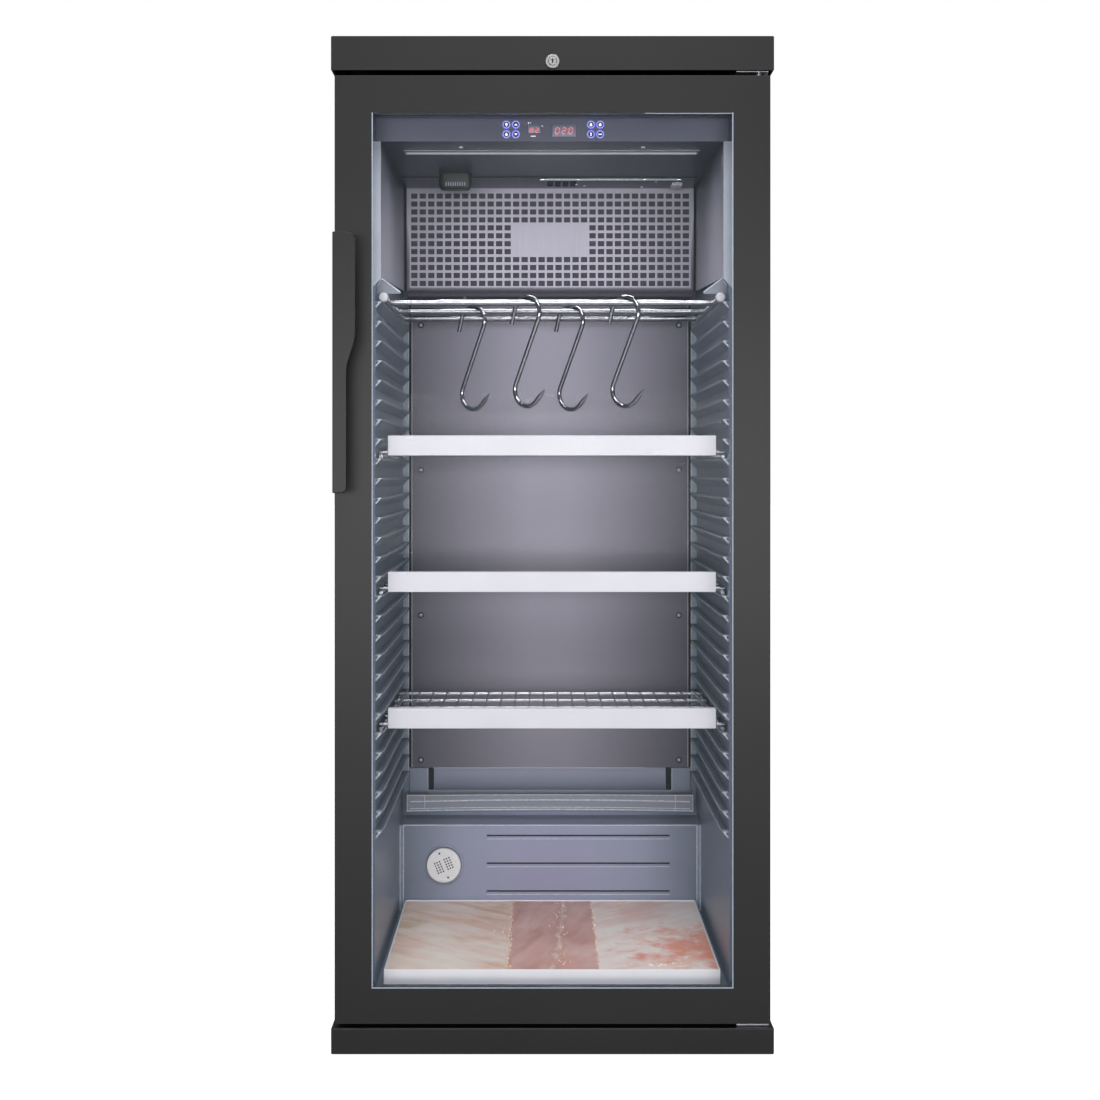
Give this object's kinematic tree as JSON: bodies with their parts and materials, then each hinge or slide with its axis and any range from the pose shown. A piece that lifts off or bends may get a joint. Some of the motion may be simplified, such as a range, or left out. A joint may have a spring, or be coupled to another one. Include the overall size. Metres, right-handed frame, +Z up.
{
  "type": "dry aging cabinet",
  "caption": "Upright dark cabinet with a hinged glass door, sliding wire shelves, hanging rails with hooks, a salt tray and a rear compressor cooling system.",
  "frame": {"origin": "on the floor, under the middle of the bounding box", "axes": "+Z up, +X to the right and +Y to the back, seen from the door"},
  "size_m": [0.6, 0.64, 1.3815],
  "materials": {
    "dark_paint": "satin powder coat",
    "dark_plastic": "moulded",
    "liner_plastic": "vacuum formed, satin",
    "foam": "foamed in place",
    "stainless": "brushed",
    "coil_aluminium": "finned",
    "chrome": "polished",
    "white_plastic": "moulded",
    "clear_plastic": "clear",
    "glass": "float",
    "rubber": "moulded",
    "salt": "sawn",
    "black_metal": "gloss black",
    "galvanised": "galvanised",
    "circuit": "lacquered",
    "light_cover": "diffusing"
  },
  "bodies": {
    "cabinet": {"outer_shell": "dark_paint", "top_lid": "dark_paint", "plinth": "dark_plastic", "air_sensor": "dark_plastic", "fan_frame": "dark_plastic", "drain_pan": "dark_plastic", "power_inlet": "dark_plastic", "inner_liner": "liner_plastic", "control_fascia": "liner_plastic", "insulation_foam": "foam", "air_hood": "stainless", "evaporator_cover": "stainless", "rear_duct_panel": "stainless", "top_hinge_plate": "stainless", "bottom_hinge_plate": "stainless", "evaporator_coil": "coil_aluminium", "hanging_rail_frame": "chrome", "lock_housing": "chrome", "filter_disc": "white_plastic", "drip_channel": "clear_plastic", "foot_front_left": "rubber", "foot_front_right": "rubber", "foot_rear_left": "rubber", "foot_rear_right": "rubber", "compressor": "black_metal", "condenser_bracket": "black_metal", "condenser_coil": "black_metal", "machine_bay_panel": "galvanised", "rear_panel": "galvanised", "compressor_plate": "galvanised", "control_display_board": "circuit", "led_strip": "light_cover", "uv_tube": "light_cover"},
    "door": {"door_frame": "dark_paint", "door_inner_frame": "dark_plastic", "door_glass_outer": "glass", "door_glass_inner": "glass", "glass_spacer": "black_metal", "door_gasket": "rubber", "door_handle": "dark_paint", "strike_plate": "stainless", "hinge_bush_top": "white_plastic", "hinge_bush_bottom": "white_plastic"},
    "lock": {"lock_plug": "chrome", "lock_cam": "galvanised"},
    "fan": {"fan_rotor": "dark_plastic"},
    "shelf_1": {"shelf_1_deck": "chrome", "shelf_1_trim": "white_plastic"},
    "shelf_2": {"shelf_2_deck": "chrome", "shelf_2_trim": "white_plastic"},
    "shelf_3": {"shelf_3_deck": "chrome", "shelf_3_trim": "white_plastic"},
    "tray": {"salt_tray": "white_plastic", "salt_block_left": "salt", "salt_block_middle": "salt", "salt_block_right": "salt"},
    "hook_1": {"hook_1": "stainless"},
    "hook_2": {"hook_2": "stainless"},
    "hook_3": {"hook_3": "stainless"},
    "hook_4": {"hook_4": "stainless"}
  },
  "joints": [
    {"name": "door_hinge", "type": "hinge", "parent": "cabinet", "child": "door", "pos_m": [0.282, -0.2595, 0.044], "axis": [0, 0, 1], "range_deg": [0, 115]},
    {"name": "lock_turn", "type": "hinge", "parent": "cabinet", "child": "lock", "pos_m": [0, -0.28, 1.3465], "axis": [0, -1, 0], "range_deg": [0, 90]},
    {"name": "fan_spin", "type": "hinge", "parent": "cabinet", "child": "fan", "pos_m": [0.16, 0.165, 1.1363], "axis": [0, 1, 0], "continuous": true},
    {"name": "shelf_1_slide", "type": "slide", "parent": "cabinet", "child": "shelf_1", "axis": [0, -1, 0], "range_m": [0, 0.025]},
    {"name": "shelf_2_slide", "type": "slide", "parent": "cabinet", "child": "shelf_2", "axis": [0, -1, 0], "range_m": [0, 0.025]},
    {"name": "shelf_3_slide", "type": "slide", "parent": "cabinet", "child": "shelf_3", "axis": [0, -1, 0], "range_m": [0, 0.025]},
    {"name": "salt_tray_slide", "type": "slide", "parent": "cabinet", "child": "tray", "axis": [0, -1, 0], "range_m": [0, 0.018]},
    {"name": "hook_1_swing", "type": "hinge", "parent": "cabinet", "child": "hook_1", "pos_m": [-0.119, -0.04, 1.0358], "axis": [1, 0, 0], "range_deg": [-15, 15]},
    {"name": "hook_2_swing", "type": "hinge", "parent": "cabinet", "child": "hook_2", "pos_m": [-0.036, -0.15, 1.0358], "axis": [1, 0, 0], "range_deg": [-15, 15]},
    {"name": "hook_3_swing", "type": "hinge", "parent": "cabinet", "child": "hook_3", "pos_m": [0.03, -0.04, 1.0358], "axis": [1, 0, 0], "range_deg": [-15, 15]},
    {"name": "hook_4_swing", "type": "hinge", "parent": "cabinet", "child": "hook_4", "pos_m": [0.106, -0.15, 1.0358], "axis": [1, 0, 0], "range_deg": [-15, 15]}
  ]
}
